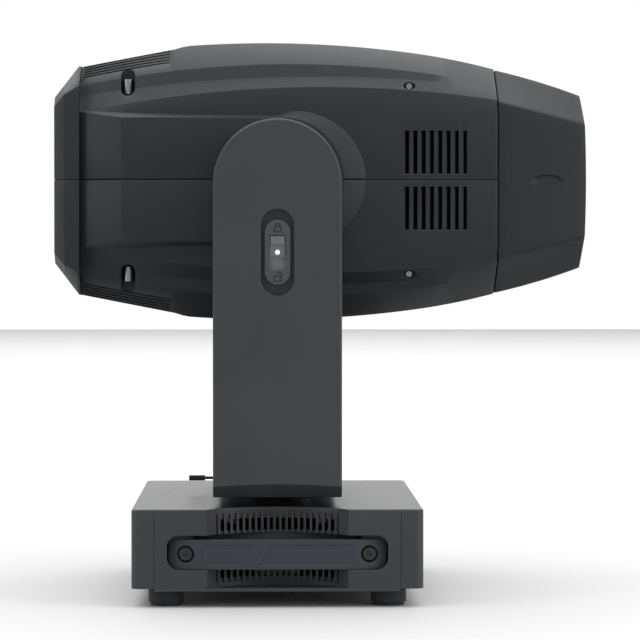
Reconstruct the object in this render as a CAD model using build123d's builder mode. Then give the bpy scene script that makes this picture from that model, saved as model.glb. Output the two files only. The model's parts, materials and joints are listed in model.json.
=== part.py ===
from build123d import *
import math
import os

# Moving head light: a base that stands or hangs, a yoke that pans on it, and a head that tilts in the yoke.
# Millimetres. The origin is on the pan axis in the plane of the base's underside, +Z up.
# At rest the lens faces +X. The near side, with the tilt lock, faces -Y.

os.makedirs("parts", exist_ok=True)

# ---------------------------------------------------------------- driving dimensions

# base
base_length = 300.0
base_width = 420.0
base_height = 84.0
wall = 3.0
corner_radius = 9.0
end_panel_depth = 23.2
seam = 0.5
foot_height = 17.0
foot_x = 115.0
foot_y = 175.0

# carrying handles and the finned hollow behind each
hollow_half = 73.0
hollow_depth = 38.0
pocket_half = 113.5
pocket_low = 22.0
pocket_high = 57.4
pocket_depth = 38.0
handle_low = 22.4
handle_high = 53.0
handle_thick = 9.5
handle_screw_x = 94.3
handle_screw_z = 38.0
fin_count = 20
fin_pitch = 6.3

# bracket sockets on the underside
bracket_x = 106.0
bracket_y = 280.0
bracket_hole_r = 6.1

# pan drive
pan_shaft_r = 45.0
running_gap = 0.05
turntable_r = 64.0
pan_pulley_r = 60.0
pan_pinion_r = 15.0
pan_motor_y = -112.0

# yoke
arm_half = 66.3
arm_outer_y = 207.0
arm_crown = 3.5
arm_inner_y = 143.0
arm_split_y = 174.0
arm_bottom = 95.2
arm_bevel_high = 14.6
arm_bevel_deep = 17.0
arm_arc_z = 418.3
tilt_z = 424.3
crossbar_half = 62.0
crossbar_low = 97.0
crossbar_high = 147.0

# pan lock lever, in a slot of the crossbar
lever_z = 101.9

# tilt drive
trunnion_r = 26.0
tilt_pulley_r = 44.0
tilt_pinion_r = 11.0
tilt_motor_z = 250.0

# tilt lock on the near arm
lock_z = 347.3
lock_plate = (26.4, 67.0)
lock_recess = (34.0, 89.0)
lock_track = (16.5, 35.7)

# head, measured from the tilt axis
head_rear = -235.0
body_start = -208.0
body_end = 232.4
hood_end = 328.8
hood_rim_r = 1340.0
head_wall = 3.5
plateau = 62.0
side_line = 67.6
pad_y = 136.0
bore_r = 84.0
parting_gap = 0.3

# inside the head
rod_y = 92.0
rod_r = 5.0
lens_r = 58.0

near = Plane.XZ  # faces -Y: its x is +X and its y is +Z


def cross_plane(x, z=0.0):
    """A plane square to X: its x is +Y and its y is +Z."""
    return Plane(origin=(x, 0, z), x_dir=(0, 1, 0), z_dir=(1, 0, 0))


def side_plane(y, z=0.0):
    """A plane square to Y that faces -Y: its x is +X and its y is +Z."""
    return Plane(origin=(0, y, z), x_dir=(1, 0, 0), z_dir=(0, -1, 0))


def finish(piece, name):
    """Label a finished piece and write it."""
    piece.part.label = name
    export_step(piece.part, f"parts/{name}.step")


def to_far_side(piece, name):
    """Write the mirror image of a near piece, for the far side."""
    with BuildPart() as far:
        mirror(piece.part, about=Plane.XZ)
    finish(far, name)


# ---------------------------------------------------------------- base casing

hollow_r = (hollow_half**2 + hollow_depth**2) / (2 * hollow_depth)
hollow_y = -base_width / 2 - hollow_r + hollow_depth
seam_x = base_length / 2 - end_panel_depth
cover_top = base_height - 3.5

with BuildPart() as base_plate:
    with BuildSketch():
        Rectangle(2 * (seam_x - seam), base_width)
    extrude(amount=wall)
    for side in (-1, 1):
        with BuildSketch(Plane.XY.offset(wall)):
            RectangleRounded(base_length - 2 * wall - 0.4, base_width - 2 * wall - 0.4, corner_radius - wall)
            with Locations((-side * (base_length - seam_x + 6), 0)):
                Rectangle(2 * base_length, base_width + 10, mode=Mode.SUBTRACT)
        extrude(amount=2)
    with GridLocations(bracket_x, bracket_y, 2, 2):
        Hole(bracket_hole_r)
    with GridLocations(2 * foot_x, 2 * foot_y, 2, 2):
        Hole(2.6)
finish(base_plate, "base_plate")

with BuildPart() as base_top:
    with BuildSketch(Plane.XY.offset(cover_top)):
        RectangleRounded(base_length, base_width, corner_radius)
        Circle(turntable_r - 6, mode=Mode.SUBTRACT)
        for side in (-1, 1):
            with Locations((0, side * hollow_y)):
                Circle(hollow_r, mode=Mode.SUBTRACT)
    extrude(amount=base_height - cover_top)
    outer_edges = base_top.edges().group_by(Axis.Z)[-1].filter_by(lambda e: e.length > 130)
    fillet(outer_edges.filter_by(GeomType.LINE), 2.0)
finish(base_top, "base_top")


def fin_sketch(inner, outer):
    """The plan of the fins: thin strips that follow the hollow's wall."""
    with BuildSketch() as strips:
        with GridLocations(fin_pitch, 0, fin_count, 1):
            Rectangle(2.4, base_width + 20)
    with BuildSketch() as ring:
        with Locations((0, hollow_y)):
            Circle(outer)
            Circle(inner, mode=Mode.SUBTRACT)
        add(strips.sketch, mode=Mode.INTERSECT)
        with Locations((0, hollow_y - hollow_r)):
            Rectangle(3 * hollow_r, 2 * hollow_r, mode=Mode.SUBTRACT)
    return ring.sketch


with BuildPart() as side_cover_near:
    face_y = -base_width / 2
    with BuildSketch(Plane.XY.offset(wall)):
        with Locations((0, face_y + wall / 2)):
            Rectangle(2 * (seam_x - seam), wall)
        with Locations((0, hollow_y)):
            Circle(hollow_r + wall)
        with Locations((0, face_y - 2 * hollow_r)):
            Rectangle(6 * hollow_r, 4 * hollow_r, mode=Mode.SUBTRACT)
        with Locations((0, hollow_y)):
            Circle(hollow_r, mode=Mode.SUBTRACT)
    extrude(amount=cover_top - wall)
    pocket_mid = (pocket_low + pocket_high) / 2
    pocket_tall = pocket_high - pocket_low
    with BuildSketch(side_plane(face_y, pocket_mid)):
        RectangleRounded(2 * pocket_half + 2 * wall, pocket_tall + 2 * wall, 12 + wall)
    extrude(amount=-(pocket_depth + wall))
    with BuildSketch(side_plane(face_y, pocket_mid)):
        RectangleRounded(2 * pocket_half, pocket_tall, 12)
    extrude(amount=-pocket_depth, mode=Mode.SUBTRACT)
    with BuildSketch(Plane.XY.offset(wall)):
        with Locations((0, hollow_y)):
            Circle(hollow_r)
    extrude(amount=cover_top - wall, mode=Mode.SUBTRACT)
    for low, high in ((12.2, 20.8), (60.4, 72.6)):
        with BuildSketch(side_plane(face_y - 1, (low + high) / 2)):
            with GridLocations(fin_pitch, 0, fin_count - 1, 1):
                Rectangle(3.6, high - low)
        extrude(amount=-(hollow_depth + wall + 6), mode=Mode.SUBTRACT)
    with BuildSketch(Plane.XY.offset(8.0)):
        add(fin_sketch(hollow_r - 2.2, hollow_r + 0.5))
    extrude(amount=pocket_low - 8.0)
    with BuildSketch(Plane.XY.offset(pocket_high)):
        add(fin_sketch(hollow_r - 2.2, hollow_r + 0.5))
    extrude(amount=cover_top - 2.0 - pocket_high)
    for end in (-1, 1):
        with BuildSketch(side_plane(face_y + pocket_depth - 1, handle_screw_z)):
            with Locations((end * handle_screw_x, 0)):
                Circle(4.2)
        extrude(amount=-10, mode=Mode.SUBTRACT)
finish(side_cover_near, "side_cover_near")
to_far_side(side_cover_near, "side_cover_far")


panel_low = 2.7


def end_panel(side):
    """A panel that wraps both corners of the base at one end."""
    with BuildPart() as panel:
        with BuildSketch(Plane.XY.offset(panel_low)):
            RectangleRounded(base_length, base_width, corner_radius)
            RectangleRounded(base_length - 2 * wall, base_width - 2 * wall, corner_radius - wall,
                             mode=Mode.SUBTRACT)
            with Locations((-side * (base_length - seam_x), 0)):
                Rectangle(2 * base_length, base_width + 10, mode=Mode.SUBTRACT)
        extrude(amount=cover_top - panel_low)
    return panel


socket_z = 42.0
with BuildPart() as front_panel:
    add(end_panel(1).part)
    with BuildSketch(cross_plane(base_length / 2 - wall - 1, socket_z)):
        with Locations((-30, 0)):
            Rectangle(84, 46)
        with Locations((66, 0)):
            with GridLocations(34, 30, 2, 2):
                Circle(8.5)
    extrude(amount=wall + 2, mode=Mode.SUBTRACT)
finish(front_panel, "front_panel")

data_y = (-120.0, -80.0, -40.0, 0.0)
inlet_y = 70.0
fuse_y = 125.0
with BuildPart() as rear_panel:
    add(end_panel(-1).part)
    with BuildSketch(cross_plane(-base_length / 2 - 1, socket_z)):
        for y in data_y:
            with Locations((y, 0)):
                Circle(12.2)
        with Locations((inlet_y, 0)):
            Circle(15.2)
        with Locations((fuse_y, 0)):
            Circle(8.2)
    extrude(amount=wall + 2, mode=Mode.SUBTRACT)
finish(rear_panel, "rear_panel")

with BuildPart() as rubber_feet:
    with BuildSketch(Plane.XY.offset(-foot_height)):
        with GridLocations(2 * foot_x, 2 * foot_y, 2, 2):
            Circle(16.5)
    extrude(amount=3.5)
    with BuildSketch(Plane.XY.offset(-foot_height + 3.5)):
        with GridLocations(2 * foot_x, 2 * foot_y, 2, 2):
            Circle(18.5)
    extrude(amount=foot_height - 3.5)
finish(rubber_feet, "rubber_feet")

# ---------------------------------------------------------------- handles

with BuildPart() as handle_near:
    bar_mid = (handle_low + handle_high) / 2
    bar_tall = handle_high - handle_low
    handle_front = -base_width / 2 + 0.8
    leg_back = -base_width / 2 + pocket_depth
    leg_mid = 98.0
    with BuildSketch(Plane.XY.offset(bar_mid - bar_tall / 2)):
        with BuildLine():
            Polyline(
                (-112, leg_back), (-112, handle_front + 9), (-103, handle_front + 6), (-84, handle_front + 1),
                (-70, handle_front), (70, handle_front), (84, handle_front + 1), (103, handle_front + 6),
                (112, handle_front + 9), (112, leg_back), (84, leg_back), (80, handle_front + handle_thick),
                (-80, handle_front + handle_thick), (-84, leg_back), close=True)
        make_face()
    extrude(amount=bar_tall)
    fillet(handle_near.edges().filter_by(Axis.Y).group_by(Axis.X)[0], 10)
    fillet(handle_near.edges().filter_by(Axis.Y).group_by(Axis.X)[-1], 10)
    leg_tall = pocket_high - 0.4 - handle_low
    with BuildSketch(side_plane(leg_back, handle_low + leg_tall / 2)):
        with GridLocations(2 * leg_mid, 0, 2, 1):
            RectangleRounded(2 * (112 - leg_mid), leg_tall, 9)
    extrude(amount=pocket_depth - 11)
    with BuildSketch(side_plane(-base_width / 2 - 5, handle_screw_z)):
        with GridLocations(2 * handle_screw_x, 0, 2, 1):
            Circle(8.9)
    extrude(amount=-20, mode=Mode.SUBTRACT)
    with BuildSketch(side_plane(-base_width / 2 - 5, handle_screw_z)):
        with GridLocations(2 * handle_screw_x, 0, 2, 1):
            Circle(4.2)
    extrude(amount=-60, mode=Mode.SUBTRACT)
    with BuildSketch(side_plane(handle_front, bar_mid)):
        with BuildLine():
            Polyline((-74, -11), (-36, -11), (-25, 10), (-74, 10), close=True)
        make_face()
        with BuildLine():
            Polyline((-19, -11), (76, -11), (76, 10), (-8, 10), close=True)
        make_face()
    extrude(amount=-0.7, mode=Mode.SUBTRACT)
finish(handle_near, "handle_near")
to_far_side(handle_near, "handle_far")

with BuildPart() as handle_screws:
    head_y = -base_width / 2 + 15
    for side in (0, 180):
        for x in (-handle_screw_x, handle_screw_x):
            seat = Plane(origin=(x, head_y, handle_screw_z), x_dir=(1, 0, 0), z_dir=(0, -1, 0))
            if side:
                seat = Plane(origin=(x, -head_y, handle_screw_z), x_dir=(-1, 0, 0), z_dir=(0, 1, 0))
            with BuildSketch(seat):
                Circle(6.5)
            extrude(amount=8)
            with BuildSketch(seat):
                Circle(4.0)
            extrude(amount=-30)
            with BuildSketch(seat.offset(8)):
                RegularPolygon(3.4, 6)
            extrude(amount=-4, mode=Mode.SUBTRACT)
finish(handle_screws, "handle_screws")

# ---------------------------------------------------------------- controls and sockets

with BuildPart() as display_window:
    with BuildSketch(cross_plane(base_length / 2 - 2.4, socket_z)):
        with Locations((-30, 0)):
            RectangleRounded(83.4, 45.4, 1.0)
    extrude(amount=2.0)
finish(display_window, "display_window")

button_spots = [(66 + dy, dz) for dy in (-17, 17) for dz in (15, -15)]
for name, (y, dz) in zip(("up", "down", "left", "enter"), button_spots):
    with BuildPart() as button:
        with BuildSketch(cross_plane(base_length / 2 - 5.0, socket_z + dz)):
            with Locations((y, 0)):
                Circle(8.1)
        extrude(amount=7.0)
        fillet(button.edges().group_by(Axis.X)[-1], 1.2)
        with BuildSketch(cross_plane(base_length / 2 - 5.0, socket_z + dz)):
            with Locations((y, 0)):
                Circle(10.0)
        extrude(amount=1.2)
    finish(button, f"button_{name}")

with BuildPart() as data_sockets:
    for y in data_y:
        with BuildSketch(cross_plane(-base_length / 2, socket_z)):
            with Locations((y, 0)):
                RectangleRounded(26, 31, 2)
        extrude(amount=-2.0)
        with BuildSketch(cross_plane(-base_length / 2 - 2.0, socket_z)):
            with Locations((y, 0)):
                Circle(12.0)
        extrude(amount=22)
    for y in data_y[:2]:
        with BuildSketch(cross_plane(-base_length / 2 - 2.0, socket_z)):
            with Locations((y, 0)):
                Circle(9.5)
                with PolarLocations(6.4, 5, start_angle=-20, angular_range=275):
                    Circle(1.2, mode=Mode.SUBTRACT)
        extrude(amount=14, mode=Mode.SUBTRACT)
    for y in data_y[2:]:
        with BuildSketch(cross_plane(-base_length / 2 - 2.0, socket_z)):
            with Locations((y, 0)):
                Circle(10.2)
                Circle(8.8, mode=Mode.SUBTRACT)
                with PolarLocations(5.2, 5, start_angle=-20, angular_range=275):
                    Circle(1.4)
        extrude(amount=12, mode=Mode.SUBTRACT)
finish(data_sockets, "data_sockets")

with BuildPart() as power_inlet:
    with BuildSketch(cross_plane(-base_length / 2, socket_z)):
        with Locations((inlet_y, 0)):
            RectangleRounded(32, 38, 2)
    extrude(amount=-2.0)
    with BuildSketch(cross_plane(-base_length / 2 - 2.0, socket_z)):
        with Locations((inlet_y, 0)):
            Circle(15.0)
    extrude(amount=28)
    with BuildSketch(cross_plane(-base_length / 2 - 2.0, socket_z)):
        with Locations((inlet_y, 0)):
            Circle(12.5)
            Circle(7.0, mode=Mode.SUBTRACT)
    extrude(amount=20, mode=Mode.SUBTRACT)
finish(power_inlet, "power_inlet")

with BuildPart() as fuse_holder:
    with BuildSketch(cross_plane(-base_length / 2, socket_z)):
        with Locations((fuse_y, 0)):
            Circle(9.5)
    extrude(amount=-5.0)
    with BuildSketch(cross_plane(-base_length / 2 - 4.0, socket_z)):
        with Locations((fuse_y, 0)):
            Circle(8.0)
    extrude(amount=34)
    with BuildSketch(cross_plane(-base_length / 2 - 5.0, socket_z)):
        with Locations((fuse_y, 0)):
            Rectangle(12, 1.8)
    extrude(amount=1.6, mode=Mode.SUBTRACT)
finish(fuse_holder, "fuse_holder")

# ---------------------------------------------------------------- inside the base

with BuildPart() as power_supply:
    with BuildSketch(Plane.XY.offset(wall)):
        with Locations((20, 122)):
            Rectangle(150, 80)
    extrude(amount=44)
    with BuildSketch(Plane.XY.offset(wall + 44)):
        with Locations((20, 122)):
            with GridLocations(10, 0, 12, 1):
                Rectangle(4, 60)
    extrude(amount=-3, mode=Mode.SUBTRACT)
finish(power_supply, "power_supply")

board_y = -20
with BuildPart() as main_board:
    with BuildSketch(Plane.XY.offset(14)):
        with Locations((96, board_y)):
            Rectangle(52, 150)
    extrude(amount=1.6)
    with BuildSketch(Plane.XY.offset(15.6)):
        with Locations((96, board_y)):
            with GridLocations(24, 34, 2, 4):
                Rectangle(14, 18)
    extrude(amount=5)
    with BuildSketch(Plane.XY.offset(wall)):
        with Locations((96, board_y)):
            with GridLocations(44, 140, 2, 2):
                Circle(3)
    extrude(amount=11)
finish(main_board, "main_board")

with BuildPart() as pan_bearing:
    with BuildSketch(Plane.XY.offset(66)):
        Circle(56)
        Circle(pan_shaft_r + running_gap, mode=Mode.SUBTRACT)
    extrude(amount=base_height - 66 - 1)
    with BuildSketch(Plane.XY.offset(cover_top - 3.2)):
        Circle(76)
        Circle(pan_shaft_r + running_gap, mode=Mode.SUBTRACT)
    extrude(amount=3)
finish(pan_bearing, "pan_bearing")

with BuildPart() as pan_motor:
    with BuildSketch(Plane.XY.offset(wall + 2)):
        with Locations((0, pan_motor_y)):
            RectangleRounded(56, 56, 5)
    extrude(amount=31)
    with BuildSketch(Plane.XY.offset(wall)):
        with Locations((0, pan_motor_y)):
            Rectangle(70, 62)
    extrude(amount=2)
finish(pan_motor, "pan_motor")

with BuildPart() as pan_pinion:
    with BuildSketch(Plane.XY.offset(41)):
        with Locations((0, pan_motor_y)):
            Circle(pan_pinion_r)
    extrude(amount=14)
    with BuildSketch(Plane.XY.offset(36.5)):
        with Locations((0, pan_motor_y)):
            Circle(6)
    extrude(amount=5)
finish(pan_pinion, "pan_pinion")

belt_gap = 0.4
belt_thick = 2.2
with BuildSketch() as belt_plan:
    with Locations((0, pan_motor_y)):
        Circle(pan_pinion_r + belt_gap)
    Circle(pan_pulley_r + belt_gap)
    make_hull()

with BuildPart() as pan_belt:
    with BuildSketch(Plane.XY.offset(43)):
        offset(belt_plan.sketch_local, amount=belt_thick)
        add(belt_plan.sketch_local, mode=Mode.SUBTRACT)
    extrude(amount=10)
finish(pan_belt, "pan_belt")

# ---------------------------------------------------------------- yoke

with BuildPart() as pan_shaft:
    with BuildSketch(Plane.XY.offset(40)):
        Circle(pan_shaft_r)
    extrude(amount=crossbar_low + 3 - 40)
    with BuildSketch(Plane.XY.offset(41)):
        Circle(pan_pulley_r)
    extrude(amount=14)
    with BuildSketch(Plane.XY.offset(base_height + 1.2)):
        Circle(turntable_r)
    extrude(amount=crossbar_low - base_height - 1.2)
    with BuildSketch(Plane.XY.offset(30)):
        Circle(32)
    extrude(amount=90, mode=Mode.SUBTRACT)
finish(pan_shaft, "pan_shaft")

with BuildPart() as crossbar:
    with BuildSketch(Plane.XY.offset(crossbar_low)):
        RectangleRounded(2 * crossbar_half, 2 * arm_inner_y - 0.4, 3)
    extrude(amount=crossbar_high - crossbar_low)
    fillet(crossbar.edges().filter_by(Axis.Y).group_by(Axis.Z)[-1], 14)
    with BuildSketch(Plane.XY.offset(crossbar_low + 3)):
        Rectangle(2 * crossbar_half - 8, 2 * arm_inner_y - 8.4)
    extrude(amount=crossbar_high - crossbar_low - 17, mode=Mode.SUBTRACT)
    with BuildSketch(Plane.XY.offset(crossbar_low - 1)):
        Circle(pan_shaft_r + 0.2)
    extrude(amount=8, mode=Mode.SUBTRACT)
    with BuildSketch(side_plane(arm_inner_y, 115)):
        Rectangle(64, 10)
    extrude(amount=2 * arm_inner_y, mode=Mode.SUBTRACT)
    with BuildSketch(Plane.XY.offset(crossbar_low)):
        with Locations((-54, 0)):
            Circle(2.5)
    extrude(amount=10)
    with BuildSketch(cross_plane(-crossbar_half - 1, lever_z)):
        Rectangle(16, 8)
    extrude(amount=6, mode=Mode.SUBTRACT)
finish(crossbar, "crossbar")


def arm_outline(plane, inset):
    """The arm seen from the side: straight sides, a square foot and a round top, drawn inset mm smaller."""
    half = arm_half - inset
    foot = arm_bottom + inset
    with BuildSketch(plane) as outline:
        with BuildLine():
            Line((-half, arm_arc_z), (-half, foot))
            Line((-half, foot), (half, foot))
            Line((half, foot), (half, arm_arc_z))
            ThreePointArc((half, arm_arc_z), (0, arm_arc_z + half), (-half, arm_arc_z))
        make_face()
    return outline.sketch


crown_r = (arm_half**2 + arm_crown**2) / (2 * arm_crown)


def arm_envelope(inset):
    """The space that the arm's two covers fill, with its crowned outer face and bevelled foot."""
    outer = arm_outer_y - inset
    foot = arm_bottom + inset
    with BuildPart() as envelope:
        extrude(arm_outline(side_plane(-arm_inner_y - inset), inset), amount=arm_outer_y - arm_inner_y)
        with BuildSketch():
            with Locations((0, crown_r - outer)):
                Circle(crown_r)
        extrude(amount=600, mode=Mode.INTERSECT)
        with BuildSketch(Plane.YZ.offset(-100)):
            with BuildLine():
                Polyline((-outer - 20, foot - 20), (-outer - 20, foot + arm_bevel_high + 17.2),
                         (-outer + arm_bevel_deep, foot), (-outer + arm_bevel_deep, foot - 20), close=True)
            make_face()
        extrude(amount=200, mode=Mode.SUBTRACT)
    return envelope.part


well_y = -arm_outer_y + 9.0
arm_space = arm_envelope(0.0)
arm_hollow = arm_envelope(wall)

with BuildPart() as arm_cover_near:
    add(arm_space)
    rim = arm_cover_near.edges().filter_by(lambda e: e.bounding_box().max.Y < -arm_outer_y + 20)
    fillet(rim.filter_by(lambda e: e.bounding_box().max.Z > 300), 2.5)
    add(arm_hollow, mode=Mode.SUBTRACT)
    split(bisect_by=Plane.XZ.offset(arm_split_y), keep=Keep.TOP)
    with BuildSketch(side_plane(well_y + 3, lock_z)):
        SlotOverall(lock_recess[1] + 5, lock_recess[0] + 5, rotation=90)
    extrude(amount=10.5)
    with BuildSketch(side_plane(well_y, lock_z)):
        SlotOverall(lock_recess[1], lock_recess[0], rotation=90)
    extrude(amount=20, mode=Mode.SUBTRACT)
    with BuildSketch(side_plane(well_y + 4, lock_z)):
        RectangleRounded(lock_track[0] + 4, lock_track[1] + 4, 2)
    extrude(amount=8, mode=Mode.SUBTRACT)
finish(arm_cover_near, "arm_cover_near")

with BuildPart() as far_cover_shape:
    add(arm_space)
    rim = far_cover_shape.edges().filter_by(lambda e: e.bounding_box().max.Y < -arm_outer_y + 20)
    fillet(rim.filter_by(lambda e: e.bounding_box().max.Z > 300), 2.5)
    add(arm_hollow, mode=Mode.SUBTRACT)
    split(bisect_by=Plane.XZ.offset(arm_split_y), keep=Keep.TOP)
to_far_side(far_cover_shape, "arm_cover_far")

with BuildPart() as arm_inner_near:
    add(arm_space)
    add(arm_hollow, mode=Mode.SUBTRACT)
    split(bisect_by=Plane.XZ.offset(arm_split_y - seam), keep=Keep.BOTTOM)
    with BuildSketch(side_plane(-arm_inner_y + 1, tilt_z)):
        Circle(trunnion_r + 5)
    extrude(amount=6, mode=Mode.SUBTRACT)
    with BuildSketch(side_plane(-arm_inner_y + 1, (crossbar_low + crossbar_high) / 2 - 2)):
        Rectangle(70, 26)
    extrude(amount=6, mode=Mode.SUBTRACT)
finish(arm_inner_near, "arm_inner_near")
to_far_side(arm_inner_near, "arm_inner_far")

frame_y = 160.0
web_z = 112.0
with BuildPart() as yoke_frame:
    for y in (-frame_y, frame_y + 6):
        with BuildSketch(side_plane(y)):
            with BuildLine():
                Line((-46, tilt_z), (-52, arm_bottom + 8))
                Line((-52, arm_bottom + 8), (52, arm_bottom + 8))
                Line((52, arm_bottom + 8), (46, tilt_z))
                ThreePointArc((46, tilt_z), (0, tilt_z + 46), (-46, tilt_z))
            make_face()
            with Locations((0, tilt_z)):
                Circle(38.2, mode=Mode.SUBTRACT)
            with Locations((0, tilt_motor_z), (0, 160)):
                RectangleRounded(60, 60, 8, mode=Mode.SUBTRACT)
        extrude(amount=6)
    with BuildSketch(Plane.XY.offset(web_z)):
        Rectangle(60, 2 * frame_y + 2)
        Rectangle(104, 150)
        Circle(34, mode=Mode.SUBTRACT)
    extrude(amount=6)
finish(yoke_frame, "yoke_frame")

with BuildPart() as tilt_bearings:
    for side in (-1, 1):
        with BuildSketch(side_plane(side * (frame_y + 3) + 7, tilt_z)):
            Circle(38)
            Circle(trunnion_r + running_gap, mode=Mode.SUBTRACT)
        extrude(amount=14)
finish(tilt_bearings, "tilt_bearings")

pulley_y = 181.0
with BuildPart() as tilt_motor:
    with BuildSketch(side_plane(frame_y + 10, tilt_motor_z)):
        RectangleRounded(56, 56, 5)
    extrude(amount=22)
    with BuildSketch(side_plane(frame_y + 10, tilt_motor_z)):
        RectangleRounded(74, 70, 4)
    extrude(amount=4)
finish(tilt_motor, "tilt_motor")

with BuildPart() as tilt_pinion:
    with BuildSketch(side_plane(pulley_y + 6, tilt_motor_z)):
        Circle(tilt_pinion_r)
    extrude(amount=12)
    with BuildSketch(side_plane(pulley_y - 6, tilt_motor_z)):
        Circle(5)
    extrude(amount=2.6)
finish(tilt_pinion, "tilt_pinion")

with BuildSketch() as tilt_loop:
    with Locations((0, tilt_z)):
        Circle(tilt_pulley_r + belt_gap)
    with Locations((0, tilt_motor_z)):
        Circle(tilt_pinion_r + belt_gap)
    make_hull()

with BuildPart() as tilt_belt:
    with BuildSketch(side_plane(pulley_y + 5)):
        offset(tilt_loop.sketch_local, amount=belt_thick)
        add(tilt_loop.sketch_local, mode=Mode.SUBTRACT)
    extrude(amount=10)
finish(tilt_belt, "tilt_belt")

# ---------------------------------------------------------------- tilt lock

plate_front = -arm_outer_y + 1.4
with BuildPart() as tilt_lock_plate:
    with BuildSketch(side_plane(well_y, lock_z)):
        SlotOverall(lock_plate[1], lock_plate[0], rotation=90)
    extrude(amount=well_y - plate_front)
    fillet(tilt_lock_plate.edges().group_by(Axis.Y)[0], 1.0)
    with BuildSketch(side_plane(well_y, lock_z)):
        RectangleRounded(lock_track[0], lock_track[1], 1.5)
    extrude(amount=20, mode=Mode.SUBTRACT)
finish(tilt_lock_plate, "tilt_lock_plate")

slider_z = lock_z + lock_track[1] / 2 - 11.4
slider_face = plate_front + 2.4
with BuildPart() as tilt_lock_slider:
    with BuildSketch(side_plane(slider_face + 3.6, slider_z)):
        RectangleRounded(lock_track[0] - 1, 21.6, 1)
    extrude(amount=3.6)
    with BuildSketch(side_plane(slider_face, slider_z + 5.6)):
        RectangleRounded(13.5, 8.3, 1)
    extrude(amount=3.2)
    fillet(tilt_lock_slider.edges().group_by(Axis.Y)[0], 0.6)
    with BuildSketch(side_plane(slider_face, slider_z - 6.2)):
        Circle(2.6)
    extrude(amount=-2, mode=Mode.SUBTRACT)
    with BuildSketch(side_plane(slider_face + 3.6, slider_z)):
        Rectangle(9, 12)
    extrude(amount=-14)
finish(tilt_lock_slider, "tilt_lock_slider")

with BuildPart() as tilt_lock_mark:
    with BuildSketch(side_plane(slider_face + 2, slider_z - 6.2)):
        Circle(2.5)
    extrude(amount=2.4)
finish(tilt_lock_mark, "tilt_lock_mark")

# ---------------------------------------------------------------- pan lock

with BuildPart() as pan_lock_lever:
    with BuildSketch(cross_plane(-95.8, lever_z)):
        RectangleRounded(9, 5.5, 2.4)
    extrude(amount=17.5)
    with BuildSketch(cross_plane(-90, lever_z)):
        Circle(1.5)
    extrude(amount=32.5)
    with BuildSketch(Plane.XY.offset(lever_z - 1.4)):
        with Locations((-54, 0)):
            Circle(5)
    extrude(amount=2.8)
    with BuildSketch(Plane.XY.offset(lever_z - 4)):
        with Locations((-54, 0)):
            Circle(2.5 + running_gap)
    extrude(amount=8, mode=Mode.SUBTRACT)
finish(pan_lock_lever, "pan_lock_lever")

# ---------------------------------------------------------------- head shells


def crest(x):
    """Height of the body's top line: a long arc that falls faster towards the hood."""
    front = max(0.0, (x - 150) / 84)
    return 148.1 - 4.31e-4 * (x + 10) ** 2 - 2.5 * front**2


def half_width(x):
    """Half the body's width at its side, widest a little ahead of the tilt axis."""
    return 127.0 - 1.8e-4 * (x - 45) ** 2


def body_profile(x, inset=0.0):
    """The body's corners in one quarter, from the top face round to the side: (across, up)."""
    wide = half_width(x)
    top = (plateau, crest(x))
    shoulder = (wide - 24, 122.8 - 4.6e-4 * (x - 15) ** 2)
    waist = (wide - 20, 109.5 - 3.2e-4 * (x - 45) ** 2)
    hip = (wide - 4, 97.5 - 4.0e-4 * (x - 50) ** 2)
    if x > 180:
        reach = (hip[0] - top[0], hip[1] - top[1])
        shoulder = (top[0] + 0.55 * reach[0], top[1] + 0.55 * reach[1])
        waist = (top[0] + 0.72 * reach[0], top[1] + 0.72 * reach[1])
    side = (wide, side_line)
    corners = [top, shoulder, waist, hip, side]
    return [(y - inset, z - inset) for y, z in corners]


def all_round(quarter):
    """A closed outline from the corners of one quarter, mirrored both ways."""
    right = quarter + [(y, -z) for y, z in reversed(quarter)]
    return right + [(-y, z) for y, z in reversed(right)]


def section(x, quarter):
    """A cross-section of the head at x, about the tilt axis."""
    with BuildSketch(cross_plane(x, tilt_z)) as cut:
        Polygon(*all_round(quarter), align=None)
    return cut.sketch


rear_cap = [
    (head_rear, [(95, 87.9), (110, 77)]),
    (-224.0, [(91, 102.7), (124, 89)]),
    (-210.4, [(86, 121.1), (124, 97)]),
    (body_start, [(84, 121.6), (124, 98)]),
]
slope_foot = (-216.0, 120.0)
slope_kink = (-109.1, 141.0)
slope_head = (-93.0, 146.2)


def body_solid(inset):
    """The body and its rear frame, made inset mm smaller all round, with a flat slope above and below."""
    arched = (body_start - 1.15 * inset, -150, -90, -30, 35, 100, 168)
    with BuildPart() as body:
        for x in arched:
            add(section(x, body_profile(x, inset)))
        loft()
        for x in (168, 192, body_end):
            add(section(x, body_profile(x, inset)))
        loft(ruled=True)
    with BuildPart() as cap:
        for x, quarter in (rear_cap[:-1] if inset else rear_cap):
            place = x + inset if x == head_rear else min(x, body_start - inset)
            add(section(place, [(y - inset, z - inset) for y, z in quarter]))
        loft(ruled=True)
    with BuildPart() as whole:
        add(body.part)
        add(cap.part)
        for up in (-1, 1):
            with BuildSketch(near):
                with BuildLine():
                    Polyline(
                        (slope_foot[0], tilt_z + up * (slope_foot[1] - inset)),
                        (slope_kink[0], tilt_z + up * (slope_kink[1] - inset)),
                        (slope_head[0], tilt_z + up * (slope_head[1] - inset)),
                        (slope_head[0], tilt_z + up * 170), (slope_foot[0], tilt_z + up * 170), close=True)
                make_face()
            extrude(amount=200, both=True, mode=Mode.SUBTRACT)
    return whole.part


def pad_outline(y, left, half, round_end):
    """The side pad seen from the side: a bar with one rounded end about the tilt axis."""
    with BuildSketch(side_plane(y, tilt_z)) as outline:
        with BuildLine():
            Line((0, half), (left, half))
            Line((left, half), (left, -half))
            Line((left, -half), (0, -half))
            ThreePointArc((0, -half), (round_end, 0), (0, half))
        make_face()
    return outline.sketch


with BuildPart() as side_pad:
    add(pad_outline(-112, -217, 73, 129))
    add(pad_outline(-pad_y, -163, 65, 70))
    loft(ruled=True)

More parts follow.
